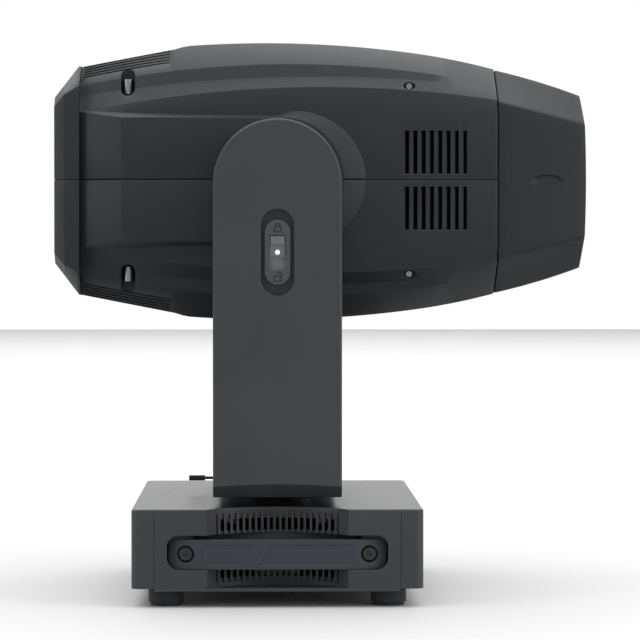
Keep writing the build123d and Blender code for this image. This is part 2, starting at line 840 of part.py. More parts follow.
shell_cavity = body_solid(head_wall)
vent_x = 166.95
pocket_x = -157.6
pocket_z = 103.5
screw_x = 139.6
screw_z = 99.0

head_solid = body_solid(0.0)
pocket_spots = [(pocket_x, pocket_z), (pocket_x, -pocket_z)]
screw_spots = [(screw_x, screw_z), (screw_x, -screw_z)]


def both_sides(low, high):
    """Planes and depth for cutting from low to high across, on the near side and the far side."""
    return [(side_plane(-low, tilt_z), high - low), (side_plane(high, tilt_z), high - low)]


with BuildPart() as bosses:
    for plane, deep in both_sides(78, 118):
        with BuildSketch(plane):
            with Locations(*pocket_spots):
                SlotOverall(36, 22, rotation=90)
        extrude(amount=deep)
    for plane, deep in both_sides(99, 126):
        with BuildSketch(plane):
            with Locations(*screw_spots):
                Circle(9)
        extrude(amount=deep)
    add(head_solid, mode=Mode.INTERSECT)

with BuildPart() as head_body:
    add(head_solid)
    add(side_pad.part)
    mirror(side_pad.part, about=Plane.XZ)
    add(shell_cavity, mode=Mode.SUBTRACT)
    add(bosses.part)
    for plane, deep in both_sides(112, 152):
        with BuildSketch(plane):
            for middle in (29.1, -29.8):
                with Locations((vent_x, middle)):
                    with GridLocations(8.73, 0, 8, 1):
                        Rectangle(4.9, 45.2)
            Circle(trunnion_r + 6)
        extrude(amount=deep, mode=Mode.SUBTRACT)
    for plane, deep in both_sides(83, 140):
        with BuildSketch(plane):
            with Locations(*pocket_spots):
                SlotOverall(29, 15, rotation=90)
        extrude(amount=deep, mode=Mode.SUBTRACT)
    for plane, deep in both_sides(106, 140):
        with BuildSketch(plane):
            with Locations(*screw_spots):
                Ellipse(6.5, 4.2)
        extrude(amount=deep, mode=Mode.SUBTRACT)
    with BuildSketch(cross_plane(head_rear - 2, tilt_z)):
        RectangleRounded(176, 120, 8)
    extrude(amount=10, mode=Mode.SUBTRACT)

with BuildPart() as upper_shell:
    add(head_body.part)
    split(bisect_by=Plane.XY.offset(tilt_z + parting_gap), keep=Keep.TOP)
finish(upper_shell, "upper_shell")

with BuildPart() as lower_shell:
    add(head_body.part)
    split(bisect_by=Plane.XY.offset(tilt_z - parting_gap), keep=Keep.BOTTOM)
finish(lower_shell, "lower_shell")

# ---------------------------------------------------------------- hood and front lens

hood_start = body_end + 1.0


def hood_profile(x, inset=0.0):
    """The hood's corners in one quarter: an octagon that closes in towards the lens."""
    along = x - hood_start
    top = 119.6 - 0.22 * along - 8.2e-4 * along**2
    wide = 120.4 - 0.20 * along - 6e-4 * along**2
    corner = 82.0 - 0.24 * along
    return [(plateau - 0.04 * along - inset / 2, top - inset), (wide - inset, corner - inset / 2)]


dimple_x = 286.6
dimple_y = 106.1
dimple_slope = 0.266

with BuildPart() as hood_space:
    for x in (hood_start, 262, 295, 335):
        add(section(x, hood_profile(x)))
    loft()
    with BuildSketch(side_plane(200, tilt_z)):
        with Locations((hood_end - hood_rim_r, 0)):
            Circle(hood_rim_r)
    extrude(amount=400, mode=Mode.INTERSECT)

with BuildPart() as hood_hollow:
    for x in (hood_start - 1, 260, 284):
        add(section(x, hood_profile(x, head_wall)))
    loft()

with BuildPart() as front_hood:
    add(hood_space.part)
    add(hood_hollow.part, mode=Mode.SUBTRACT)
    with BuildSketch(cross_plane(280, tilt_z)):
        Circle(bore_r - 4)
    extrude(amount=20, mode=Mode.SUBTRACT)
    with BuildSketch(cross_plane(292, tilt_z)):
        Circle(bore_r)
    extrude(amount=60, taper=-6, mode=Mode.SUBTRACT)
    for side in (-1, 1):
        lean = (1, -side * dimple_slope, 0)
        out = (dimple_slope, side, 0)
        with BuildSketch(Plane(origin=(dimple_x, side * dimple_y, tilt_z), x_dir=lean, z_dir=out)):
            Ellipse(16, 5.7)
        extrude(amount=8, mode=Mode.SUBTRACT)
finish(front_hood, "front_hood")

with BuildPart() as lens_ring:
    with BuildSketch(cross_plane(292.3, tilt_z)):
        Circle(bore_r - 0.4)
        Circle(76, mode=Mode.SUBTRACT)
    extrude(amount=6)
    with BuildSketch(cross_plane(284.3, tilt_z)):
        Circle(bore_r - 4.4)
        Circle(76, mode=Mode.SUBTRACT)
    extrude(amount=8)
finish(lens_ring, "lens_ring")

with BuildPart() as front_lens:
    lens_half = 75.8
    lens_bulge = 12.0
    lens_curve = (lens_half**2 + lens_bulge**2) / (2 * lens_bulge)
    with BuildSketch(cross_plane(286, tilt_z)):
        Circle(lens_half)
    extrude(amount=16)
    with Locations((302 - lens_curve, 0, tilt_z)):
        Sphere(lens_curve, mode=Mode.INTERSECT)
finish(front_lens, "front_lens")

# ---------------------------------------------------------------- head fasteners and drive

screw_low = 91.5
screw_top = 107.0
with BuildPart() as shell_screws:
    for up in (-1, 1):
        with BuildSketch(Plane.XY.offset(tilt_z + up * screw_low)):
            with GridLocations(0, 180, 1, 2):
                with Locations((pocket_x, 0)):
                    Circle(5.5)
        extrude(amount=up * (screw_top - screw_low))
        with BuildSketch(Plane.XY.offset(tilt_z + up * screw_top)):
            with GridLocations(0, 180, 1, 2):
                with Locations((pocket_x, 0)):
                    RegularPolygon(2.9, 6)
        extrude(amount=-up * 4, mode=Mode.SUBTRACT)
    for plane, deep in both_sides(83, 88):
        with BuildSketch(plane):
            with Locations(*[(pocket_x, up * 98) for up in (-1, 1)]):
                Circle(3)
        extrude(amount=deep)
    for plane, deep in both_sides(106, 109):
        with BuildSketch(plane):
            with Locations(*screw_spots):
                Circle(3.2)
        extrude(amount=deep)
finish(shell_screws, "shell_screws")

chassis_y = 100.0
with BuildPart() as head_chassis:
    for side in (-1, 1):
        with BuildSketch(side_plane(side * chassis_y + 1.5, tilt_z)):
            with Locations((5, 0)):
                RectangleRounded(370, 110, 6)
            with GridLocations(86, 0, 4, 1):
                RectangleRounded(50, 60, 6, mode=Mode.SUBTRACT)
            Circle(34)
        extrude(amount=3)
    for x in (-92, 4, 178):
        with BuildSketch(cross_plane(x, tilt_z)):
            RectangleRounded(2 * chassis_y - 2, 190, 12)
            Circle(64, mode=Mode.SUBTRACT)
            with Locations((-rod_y, 20), (rod_y, -20)):
                Circle(rod_r + 0.1, mode=Mode.SUBTRACT)
        extrude(amount=3)
finish(head_chassis, "head_chassis")

with BuildPart() as trunnions:
    with BuildSketch(side_plane(-chassis_y - 1.7, tilt_z)):
        Circle(trunnion_r)
        Circle(16, mode=Mode.SUBTRACT)
    extrude(amount=70)
    with BuildSketch(side_plane(chassis_y + 1.7 + 90, tilt_z)):
        Circle(trunnion_r)
        Circle(16, mode=Mode.SUBTRACT)
    extrude(amount=90)
    for side in (-1, 1):
        with BuildSketch(side_plane(side * (chassis_y + 4.2) + 2.5, tilt_z)):
            Circle(32)
            Circle(16, mode=Mode.SUBTRACT)
        extrude(amount=5)
finish(trunnions, "trunnions")

with BuildPart() as tilt_pulley:
    with BuildSketch(side_plane(pulley_y + 6, tilt_z)):
        Circle(tilt_pulley_r)
        Circle(trunnion_r, mode=Mode.SUBTRACT)
        with PolarLocations(35, 6):
            Circle(5.5, mode=Mode.SUBTRACT)
    extrude(amount=12)
finish(tilt_pulley, "tilt_pulley")

# ---------------------------------------------------------------- cooling

with BuildPart() as rear_grille:
    with BuildSketch(cross_plane(head_rear + 0.3, tilt_z)):
        RectangleRounded(175.4, 119.4, 8)
        with Locations((-44, 0), (44, 0)):
            for ring in (12, 20, 28, 36):
                with PolarLocations(ring, int(ring * 0.6)):
                    Circle(3.1, mode=Mode.SUBTRACT)
    extrude(amount=2.5)
finish(rear_grille, "rear_grille")

fan_y = 44.0
fan_x = head_rear + 4.5
with BuildPart() as fan_housings:
    for y in (-fan_y, fan_y):
        with BuildSketch(cross_plane(fan_x, tilt_z)):
            with Locations((y, 0)):
                RectangleRounded(84, 84, 5)
                Circle(39.5, mode=Mode.SUBTRACT)
        extrude(amount=25)
        with BuildSketch(cross_plane(fan_x + 22, tilt_z)):
            with Locations((y, 0)):
                Rectangle(84, 5)
                Rectangle(5, 84)
                Circle(12)
        extrude(amount=3)
finish(fan_housings, "fan_housings")

for name, y in (("near", -fan_y), ("far", fan_y)):
    with BuildPart() as fan:
        with BuildSketch(cross_plane(fan_x + 3, tilt_z)):
            with Locations((y, 0)):
                Circle(13)
        extrude(amount=17)
        with BuildSketch(cross_plane(fan_x + 5, tilt_z)):
            with Locations((y, 0)):
                with PolarLocations(25, 7):
                    Rectangle(26, 5, rotation=22)
        extrude(amount=12)
    finish(fan, f"fan_rotor_{name}")

sink_x = fan_x + 28
with BuildPart() as heat_sink:
    with BuildSketch(cross_plane(sink_x, tilt_z)):
        with GridLocations(8, 0, 23, 1):
            Rectangle(2, 150)
    extrude(amount=-155 - sink_x)
    with BuildSketch(cross_plane(-155, tilt_z)):
        Rectangle(182, 150)
    extrude(amount=8)
finish(heat_sink, "heat_sink")

with BuildPart() as light_engine:
    with BuildSketch(cross_plane(-147, tilt_z)):
        Rectangle(110, 110)
    extrude(amount=6)
    with BuildSketch(cross_plane(-141, tilt_z)):
        Circle(44)
    extrude(amount=26)
finish(light_engine, "light_engine")

# ---------------------------------------------------------------- optics

wheel_z = tilt_z - 44
with BuildPart() as gobo_wheel:
    with BuildSketch(cross_plane(-70, wheel_z)):
        Circle(60)
        with PolarLocations(44, 8, start_angle=90):
            Circle(13, mode=Mode.SUBTRACT)
        Circle(4 + running_gap, mode=Mode.SUBTRACT)
    extrude(amount=2.5)
finish(gobo_wheel, "gobo_wheel")

with BuildPart() as colour_wheel:
    with BuildSketch(cross_plane(-58, wheel_z)):
        Circle(60)
        with PolarLocations(44, 7, start_angle=90):
            Circle(14, mode=Mode.SUBTRACT)
        Circle(4 + running_gap, mode=Mode.SUBTRACT)
    extrude(amount=2.0)
finish(colour_wheel, "colour_wheel")

with BuildPart() as wheel_spindle:
    with BuildSketch(cross_plane(-74, wheel_z)):
        Circle(4)
    extrude(amount=22)
    with BuildSketch(cross_plane(-52, wheel_z)):
        Circle(9)
    extrude(amount=3)
    with BuildSketch(cross_plane(-49, tilt_z)):
        with Locations((0, -44)):
            Rectangle(196.8, 16)
    extrude(amount=3)
finish(wheel_spindle, "wheel_spindle")

with BuildPart() as guide_rods:
    with BuildSketch(cross_plane(-30, tilt_z)):
        with Locations((-rod_y, 20), (rod_y, -20)):
            Circle(rod_r)
    extrude(amount=222)
finish(guide_rods, "guide_rods")


def lens_carriage(x, name):
    """A plate that slides on the two guide rods and holds a lens."""
    with BuildPart() as carriage:
        with BuildSketch(cross_plane(x, tilt_z)):
            RectangleRounded(2 * chassis_y - 6, 132, 10)
            Circle(lens_r, mode=Mode.SUBTRACT)
            with Locations((-rod_y, 20), (rod_y, -20)):
                Circle(rod_r + running_gap, mode=Mode.SUBTRACT)
        extrude(amount=8)
        lens_axis = Axis(Vector(x, 0, tilt_z), (1, 0, 0))
        with BuildSketch(near):
            with BuildLine():
                Line((x - 6, tilt_z), (x, tilt_z + lens_r))
                Line((x, tilt_z + lens_r), (x + 8, tilt_z + lens_r))
                ThreePointArc((x + 8, tilt_z + lens_r), (x + 15, tilt_z + lens_r * 0.55), (x + 18, tilt_z))
                Line((x + 18, tilt_z), (x - 6, tilt_z))
            make_face()
        revolve(axis=lens_axis)
    finish(carriage, name)


lens_carriage(60, "zoom_carriage")
lens_carriage(118, "focus_carriage")
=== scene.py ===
import json
import math

import bmesh
import bpy
from mathutils import Matrix, Vector


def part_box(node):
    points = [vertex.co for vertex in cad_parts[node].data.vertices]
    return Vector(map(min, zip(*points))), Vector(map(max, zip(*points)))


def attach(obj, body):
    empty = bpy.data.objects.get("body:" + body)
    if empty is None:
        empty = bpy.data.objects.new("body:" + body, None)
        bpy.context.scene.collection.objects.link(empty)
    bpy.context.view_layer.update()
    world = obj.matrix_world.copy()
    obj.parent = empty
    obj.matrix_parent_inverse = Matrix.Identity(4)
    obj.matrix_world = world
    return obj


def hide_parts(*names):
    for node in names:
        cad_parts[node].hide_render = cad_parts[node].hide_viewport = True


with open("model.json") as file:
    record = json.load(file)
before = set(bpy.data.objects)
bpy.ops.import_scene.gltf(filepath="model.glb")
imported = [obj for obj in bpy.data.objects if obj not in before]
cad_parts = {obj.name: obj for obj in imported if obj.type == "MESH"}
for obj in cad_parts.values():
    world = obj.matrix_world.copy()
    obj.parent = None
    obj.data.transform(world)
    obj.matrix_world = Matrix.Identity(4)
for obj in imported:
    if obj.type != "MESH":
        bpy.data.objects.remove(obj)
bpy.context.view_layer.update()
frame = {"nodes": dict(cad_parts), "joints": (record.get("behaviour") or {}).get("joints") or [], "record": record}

# ---------------------------------------------------------------- places, from the frame

MM = 0.001
JOINTS = {j["name"]: j for j in frame["joints"]}
TILT = Vector(JOINTS["tilt"]["pos_m"])
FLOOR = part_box("rubber_feet")[0].z
SLOTS = {s["node"]: s["material_slot"] for s in frame["record"]["subparts"]}
SIDES = (-1, 1)

# ---------------------------------------------------------------- shader helpers


def graph(name):
    """A new material with an empty tree, its node maker and its linker."""
    material = bpy.data.materials.new(name)
    material.use_nodes = True
    tree = material.node_tree
    tree.nodes.clear()

    def node(kind, **values):
        made = tree.nodes.new(kind)
        for key, value in values.items():
            if key.startswith("in_"):
                made.inputs[key[3:].replace("_", " ")].default_value = value
            else:
                setattr(made, key, value)
        return made

    return material, node, tree.links.new


def colour(rgb):
    return (rgb[0], rgb[1], rgb[2], 1.0)


def mix_of(node, link, factor, first, second):
    """A colour mix of two colours, either of them a plain tuple or a socket."""
    mix = node("ShaderNodeMix", data_type="RGBA")
    sockets = {"Factor": factor, "A": first, "B": second}
    for name, value in sockets.items():
        socket = next(s for s in mix.inputs if s.name == name and (name == "Factor") == (s.type == "VALUE")
                      and (s.type in ("VALUE", "RGBA")))
        if isinstance(value, (tuple, float)):
            socket.default_value = value
        else:
            link(value, socket)
    return next(s for s in mix.outputs if s.type == "RGBA")


def scaled(node, link, value, low, high, to_low, to_high):
    """A value mapped from one range to another, and kept inside it."""
    ramp = node("ShaderNodeMapRange", clamp=True)
    ramp.inputs["From Min"].default_value = low
    ramp.inputs["From Max"].default_value = high
    ramp.inputs["To Min"].default_value = to_low
    ramp.inputs["To Max"].default_value = to_high
    link(value, ramp.inputs["Value"])
    return ramp.outputs["Result"]


def surface(name, base, rough, metallic=0.0, grain=1.1, grain_depth=0.05, cloud=0.05, edge_highlight=0.5, edge=0.7,
            specular=0.25, coat=0.0, brushed=None):
    """A moulded or machined surface: fine grain, slow changes of tone, softened edges, and a painted highlight
    that makes the edges paler.
    """
    material, node, link = graph(name)
    place = node("ShaderNodeTexCoord").outputs["Object"]
    if brushed:
        stretch = node("ShaderNodeMapping")
        stretch.inputs["Scale"].default_value = brushed
        link(place, stretch.inputs["Vector"])
        place = stretch.outputs["Vector"]
    fine = node("ShaderNodeTexNoise", in_Scale=1.0 / (grain * MM), in_Detail=3.0, in_Roughness=0.6)
    slow = node("ShaderNodeTexNoise", in_Scale=9.0, in_Detail=4.0, in_Roughness=0.55)
    streak = node("ShaderNodeTexNoise", in_Scale=60.0, in_Detail=5.0, in_Roughness=0.7)
    for noise in (fine, slow, streak):
        link(place, noise.inputs["Vector"])

    rounded = node("ShaderNodeBevel", samples=4)
    rounded.inputs["Radius"].default_value = edge * MM
    true = node("ShaderNodeNewGeometry").outputs["Normal"]
    facing = node("ShaderNodeVectorMath", operation="DOT_PRODUCT")
    link(rounded.outputs["Normal"], facing.inputs[0])
    link(true, facing.inputs[1])
    # Painted highlight: the mask grows where the rounded-edge normal turns away from the true normal, standing in
    # for light caught on edge fillets.
    edge_highlight_mask = scaled(node, link, facing.outputs["Value"], 0.995, 0.86, 0.0, edge_highlight)

    dark = tuple(c * (1 - cloud) for c in base)
    light = tuple(min(1.0, c * (1 + cloud)) for c in base)
    tone = mix_of(node, link, scaled(node, link, slow.outputs["Fac"], 0.35, 0.65, 0.0, 1.0), colour(dark),
                  colour(light))
    speck = scaled(node, link, fine.outputs["Fac"], 0.38, 0.72, 0.0, 0.14)
    tone = mix_of(node, link, speck, tone, colour(tuple(min(1.0, c * 1.5 + 0.004) for c in base)))
    # The painted highlight colour: a paler copy of the base, mixed in along the edges.
    painted_edge_highlight = colour(tuple(min(1.0, c * 1.9 + 0.012) for c in base))
    tone = mix_of(node, link, edge_highlight_mask, tone, painted_edge_highlight)

    bump = node("ShaderNodeBump")
    bump.inputs["Strength"].default_value = grain_depth
    bump.inputs["Distance"].default_value = grain * MM * 0.5
    link(fine.outputs["Fac"], bump.inputs["Height"])
    link(rounded.outputs["Normal"], bump.inputs["Normal"])

    shader = node("ShaderNodeBsdfPrincipled")
    shader.inputs["Metallic"].default_value = metallic
    shader.inputs["Specular IOR Level"].default_value = specular
    shader.inputs["Coat Weight"].default_value = coat
    shader.inputs["Coat Roughness"].default_value = 0.3
    link(tone, shader.inputs["Base Color"])
    spread = scaled(node, link, streak.outputs["Fac"], 0.3, 0.7, rough - 0.02, rough + 0.02)
    link(spread, shader.inputs["Roughness"])
    link(bump.outputs["Normal"], shader.inputs["Normal"])
    out = node("ShaderNodeOutputMaterial")
    link(shader.outputs["BSDF"], out.inputs["Surface"])
    return material


def glass_surface(name):
    """A coated front lens: clear, with a faint cool tint and very fine polishing haze."""
    material, node, link = graph(name)
    place = node("ShaderNodeTexCoord").outputs["Object"]
    haze = node("ShaderNodeTexNoise", in_Scale=300.0, in_Detail=4.0)
    link(place, haze.inputs["Vector"])
    shader = node("ShaderNodeBsdfPrincipled")
    shader.inputs["Base Color"].default_value = (0.80, 0.88, 0.95, 1)
    shader.inputs["Transmission Weight"].default_value = 0.85
    shader.inputs["IOR"].default_value = 1.5
    shader.inputs["Coat Weight"].default_value = 0.6
    shader.inputs["Coat Tint"].default_value = (0.62, 0.70, 1.0, 1)
    link(scaled(node, link, haze.outputs["Fac"], 0.4, 0.6, 0.01, 0.05), shader.inputs["Roughness"])
    out = node("ShaderNodeOutputMaterial")
    link(shader.outputs["BSDF"], out.inputs["Surface"])
    return material


def display_surface(name):
    """A dark display window with a faint blue panel of soft cells behind the glass."""
    material, node, link = graph(name)
    place = node("ShaderNodeTexCoord").outputs["Object"]
    cells = node("ShaderNodeTexBrick", in_Scale=60.0)
    cells.inputs["Color1"].default_value = (0.010, 0.014, 0.022, 1)
    cells.inputs["Color2"].default_value = (0.014, 0.020, 0.032, 1)
    cells.inputs["Mortar"].default_value = (0.006, 0.008, 0.012, 1)
    link(place, cells.inputs["Vector"])
    shader = node("ShaderNodeBsdfPrincipled")
    shader.inputs["Roughness"].default_value = 0.08
    shader.inputs["Coat Weight"].default_value = 0.5
    link(cells.outputs["Color"], shader.inputs["Base Color"])
    out = node("ShaderNodeOutputMaterial")
    link(shader.outputs["BSDF"], out.inputs["Surface"])
    return material


# ---------------------------------------------------------------- the finishes

# Every finish below paints a paler highlight along its rounded edges, stronger or weaker by finish.
FINISH = {
    "base_casing": surface("base_casing", (0.0235, 0.0258, 0.0285), 0.46, grain=1.0, edge_highlight=0.5, edge=0.8),
    "base_top": surface("base_top", (0.027, 0.029, 0.033), 0.34, specular=0.2, grain=1.2,
                        grain_depth=0.05, edge=0.8),
    "handle_plastic": surface("handle_plastic", (0.0205, 0.0245, 0.029), 0.48, grain=0.9, edge=1.4),
    "foot_rubber": surface("foot_rubber", (0.016, 0.017, 0.019), 0.62, grain=0.8, grain_depth=0.12,
                           edge=1.0),
    "screw_black": surface("screw_black", (0.035, 0.036, 0.040), 0.30, metallic=0.7, edge=0.4, edge_highlight=0.8),
    "screw_steel": surface("screw_steel", (0.20, 0.205, 0.215), 0.32, metallic=1.0, edge=0.3,
                           brushed=(1, 8, 8)),
    "display_glass": display_surface("display_glass"),
    "button_rubber": surface("button_rubber", (0.060, 0.062, 0.068), 0.6, grain=0.6, edge=0.5),
    "socket_plastic": surface("socket_plastic", (0.018, 0.018, 0.020), 0.42, edge=0.4),
    "inlet_plastic": surface("inlet_plastic", (0.020, 0.032, 0.085), 0.4, edge=0.4),
    "steel_plate": surface("steel_plate", (0.42, 0.43, 0.45), 0.38, metallic=1.0, brushed=(1, 1, 12),
                           edge=0.4),
    "black_plate": surface("black_plate", (0.028, 0.029, 0.032), 0.5, grain=0.7, grain_depth=0.15,
                           edge=0.5),
    "circuit_board": surface("circuit_board", (0.012, 0.075, 0.040), 0.35, edge=0.2, coat=0.3),
    "aluminium": surface("aluminium", (0.52, 0.53, 0.55), 0.32, metallic=1.0, brushed=(1, 6, 1),
                         edge=0.3),
    "black_aluminium": surface("black_aluminium", (0.030, 0.031, 0.034), 0.34, metallic=0.8, edge=0.4),
    "motor_steel": surface("motor_steel", (0.10, 0.10, 0.11), 0.36, metallic=0.9, edge=0.4),
    "belt_rubber": surface("belt_rubber", (0.012, 0.012, 0.013), 0.7, edge=0.2),
    "yoke_plastic": surface("yoke_plastic", (0.0245, 0.0262, 0.0295), 0.40, grain=0.9,
                            grain_depth=0.04, edge=1.6,
                            edge_highlight=0.25),
    "lock_plate": surface("lock_plate", (0.036, 0.038, 0.043), 0.36, grain=0.7, edge=0.7, edge_highlight=0.8),
    "lock_slider": surface("lock_slider", (0.12, 0.125, 0.135), 0.30, metallic=0.7, grain=0.6, edge=0.5),
    "lock_mark": surface("lock_mark", (0.80, 0.81, 0.82), 0.45, grain=0.5, edge=0.2),
    "lever_grip": surface("lever_grip", (0.014, 0.014, 0.016), 0.6, grain=0.6, grain_depth=0.15,
                          edge=0.5),
    "head_shell": surface("head_shell", (0.0110, 0.0132, 0.0162), 0.46, specular=0.2, grain=0.9,
                          edge=0.9, edge_highlight=0.35),
    "hood": surface("hood", (0.0085, 0.0098, 0.0118), 0.50, specular=0.17, grain=0.9, edge=0.9,
                    edge_highlight=0.25),
    "lens_glass": glass_surface("lens_glass"),
    "grille": surface("grille", (0.018, 0.019, 0.021), 0.5, grain=0.7, grain_depth=0.15, edge=0.4),
    "fan_plastic": surface("fan_plastic", (0.014, 0.014, 0.015), 0.5, edge=0.4),
    "gobo_metal": surface("gobo_metal", (0.22, 0.22, 0.24), 0.35, metallic=0.9, edge=0.2, brushed=(1,
                          1, 6)),
    "filter_disc": surface("filter_disc", (0.16, 0.07, 0.26), 0.2, edge=0.2, coat=0.4),
}
ICON = surface("lock_symbol", (0.006, 0.0065, 0.008), 0.4, grain=0.5, edge=0.15)
DARK = surface("inner_dark", (0.008, 0.0085, 0.010), 0.6, grain=0.8, edge=0.3)


def dress_frame():
    """Every CAD node gets its finish."""
    for name, obj in frame["nodes"].items():
        finish = FINISH[SLOTS[name]]
        for spot in obj.material_slots:
            spot.material = finish


# ---------------------------------------------------------------- mesh helpers


def make_piece(name, verts, faces, finish, body, slot, smooth=None):
    """A new mesh object in the row frame, riding on a body."""
    mesh = bpy.data.meshes.new(name)
    mesh.from_pydata([tuple(v) for v in verts], [], faces)
    mesh.validate()
    obj = bpy.data.objects.new(name, mesh)
    bpy.context.scene.collection.objects.link(obj)
    mesh.materials.append(finish)
    tidy_normals(obj)
    if smooth is not None:
        smooth_by_angle(obj, smooth)
    if body:
        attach(obj, body)
    return obj


def tidy_normals(obj):
    work = bmesh.new()
    work.from_mesh(obj.data)
    bmesh.ops.remove_doubles(work, verts=work.verts, dist=1e-6)
    bmesh.ops.recalc_face_normals(work, faces=work.faces)
    work.to_mesh(obj.data)
    work.free()


def smooth_by_angle(obj, degrees):
    """Smooth faces whose shared edges stay sharp above an angle."""
    work = bmesh.new()
    work.from_mesh(obj.data)
    for face in work.faces:
        face.smooth = True
    for line in work.edges:
        sharp = len(line.link_faces) != 2 or line.calc_face_angle(0) > math.radians(degrees)
        line.smooth = not sharp
    work.to_mesh(obj.data)
    work.free()


def apply_modifiers(obj):
    """Replace the mesh with what its modifiers make of it."""
    bpy.context.view_layer.update()
    seen = obj.evaluated_get(bpy.context.evaluated_depsgraph_get())
    made = bpy.data.meshes.new_from_object(seen)
    obj.modifiers.clear()
    obj.data = made


def prism(corners_low, corners_high):
    """Vertices and faces of a closed prism between two loops of the same count."""
    count = len(corners_low)
    faces = [tuple(range(count))[::-1], tuple(range(count, 2 * count))]
    for i in range(count):
        j = (i + 1) % count
        faces.append((i, j, count + j, count + i))
    return list(corners_low) + list(corners_high), faces


def block(low, high):
    """A box prism between two corners."""
    loop = [(low[0], low[1]), (high[0], low[1]), (high[0], high[1]), (low[0], high[1])]
    return prism([(x, y, low[2]) for x, y in loop], [(x, y, high[2]) for x, y in loop])


def gather(shapes):
    """Several (verts, faces) shapes as one."""
    verts, faces = [], []
    for some_verts, some_faces in shapes:
        start = len(verts)
        verts += [Vector(v) for v in some_verts]
        faces += [tuple(i + start for i in f) for f in some_faces]
    return verts, faces


def carve(obj, shapes):
    """Cut shapes out of a piece."""
    cutter = make_piece("cutter", *gather(shapes), DARK, None, None)
    work = bmesh.new()
    work.from_mesh(cutter.data)
    bmesh.ops.triangulate(work, faces=work.faces)
    work.to_mesh(cutter.data)
    work.free()
    boolean = obj.modifiers.new("carve", "BOOLEAN")
    boolean.operation = "DIFFERENCE"
    boolean.solver = "EXACT"
    boolean.object = cutter
    apply_modifiers(obj)
    bpy.data.objects.remove(cutter)


def soften(obj, width, angle, segments=2):
    """Round every edge sharper than an angle."""
    bevel = obj.modifiers.new("soften", "BEVEL")
    bevel.width = width * MM
    bevel.segments = segments
    bevel.limit_method = "ANGLE"
    bevel.angle_limit = math.radians(angle)
    bevel.harden_normals = False
    apply_modifiers(obj)


# ---------------------------------------------------------------- head shells, from the same lines as the CAD

REAR = -235.0
BODY_START = -208.0
BODY_END = 232.4
PLATEAU = 62.0
SIDE_LINE = 67.6
CAP = {
    REAR: ((95.0, 87.9), (110.0, 77.0)),
    -224.0: ((91.0, 102.7), (124.0, 89.0)),
    -210.4: ((86.0, 121.1), (124.0, 97.0)),
    BODY_START: ((84.0, 121.6), (124.0, 98.0)),
}
SLOPE = ((-216.0, 120.0), (-109.1, 141.0), (-93.0, 146.2))


def half_width(x):
    return 127.0 - 1.8e-4 * (x - 45) ** 2


def crest(x):
    """The body's top line before the rear slope is cut."""
    front = max(0.0, (x - 150) / 84)
    return 148.1 - 4.31e-4 * (x + 10) ** 2 - 2.5 * front**2


def slope(x):
    """The flat slopes behind the crest, and the step up to it."""
    (x0, z0), (x1, z1) = SLOPE[:2] if x <= SLOPE[1][0] else SLOPE[1:]
    return z0 + (x - x0) * (z1 - z0) / (x1 - x0)


def body_quarter(x):
    """The body's corners in one quarter, from the top round to the side."""
    wide = half_width(x)
    top = (PLATEAU, crest(x))
    shoulder = (wide - 24, 122.8 - 4.6e-4 * (x - 15) ** 2)
    waist = (wide - 20, 109.5 - 3.2e-4 * (x - 45) ** 2)
    hip = (wide - 4, 97.5 - 4.0e-4 * (x - 50) ** 2)
    tip = min(1.0, max(0.0, (x - 168) / 24))
    line_a = tuple(t + 0.55 * (h - t) for t, h in zip(top, hip))
    line_b = tuple(t + 0.72 * (h - t) for t, h in zip(top, hip))
    shoulder = tuple(s + tip * (a - s) for s, a in zip(shoulder, line_a))
    waist = tuple(w + tip * (b - w) for w, b in zip(waist, line_b))
    if x < SLOPE[2][0] and slope(x) < top[1]:
        fall = (top[1] - slope(x)) / (top[1] - shoulder[1])
        top = (top[0] + fall * (shoulder[0] - top[0]), slope(x))
    return [top, shoulder, waist, hip, (wide, SIDE_LINE)]


def cap_quarter(x):
    """The rear frame's corners in one quarter."""
    top, hip = CAP[x]
    middle = [tuple(t + part * (h - t) for t, h in zip(top, hip)) for part in (0.34, 0.67)]
    return [top, *middle, hip, (hip[0], SIDE_LINE)]


def ring_of(x, quarter):
    """A closed ring of points about the tilt axis, with extra points along its long sides."""
    loop = quarter + [(quarter[-1][0], z) for z in (30.0, 0.0, -30.0)]
    loop += [(y, -z) for y, z in reversed(quarter)]
    across = quarter[0][0]
    loop += [(y, -quarter[0][1]) for y in (across / 2, 0.0, -across / 2)]
    loop += [(-y, -z) for y, z in quarter]
    loop += [(-quarter[-1][0], z) for z in (-30.0, 0.0, 30.0)]
    loop += [(-y, z) for y, z in reversed(quarter)]
    loop += [(y, quarter[0][1]) for y in (-across / 2, 0.0, across / 2)]
    return [TILT + Vector((x, y, z)) * MM for y, z in loop]


def skin(rings):
    """A closed skin through rings of the same count."""
    count = len(rings[0])
    verts = [v for ring in rings for v in ring]
    faces = [tuple(range(count)), tuple(range(len(verts) - count, len(verts)))[::-1]]
    for r in range(len(rings) - 1):
        a, b = r * count, (r + 1) * count
        for i in range(count):
            j = (i + 1) % count
            faces.append((a + i, b + i, b + j, a + j))
    return verts, faces


def body_rings():
    stations = [BODY_START + 0.02, -200, -190, -180, -170, -160,
                -150, -140, -130, -120, SLOPE[1][0], -101, SLOPE[2][0]]
    stations += [-85 + 10 * i for i in range(26)]
    stations += [168, 172, 180, 188, 192, 200, 210, 220, 227, BODY_END]
    rings = [ring_of(x, cap_quarter(x)) for x in CAP]
    return rings + [ring_of(x, body_quarter(x)) for x in stations]


# ---------------------------------------------------------------- cuts in the shells

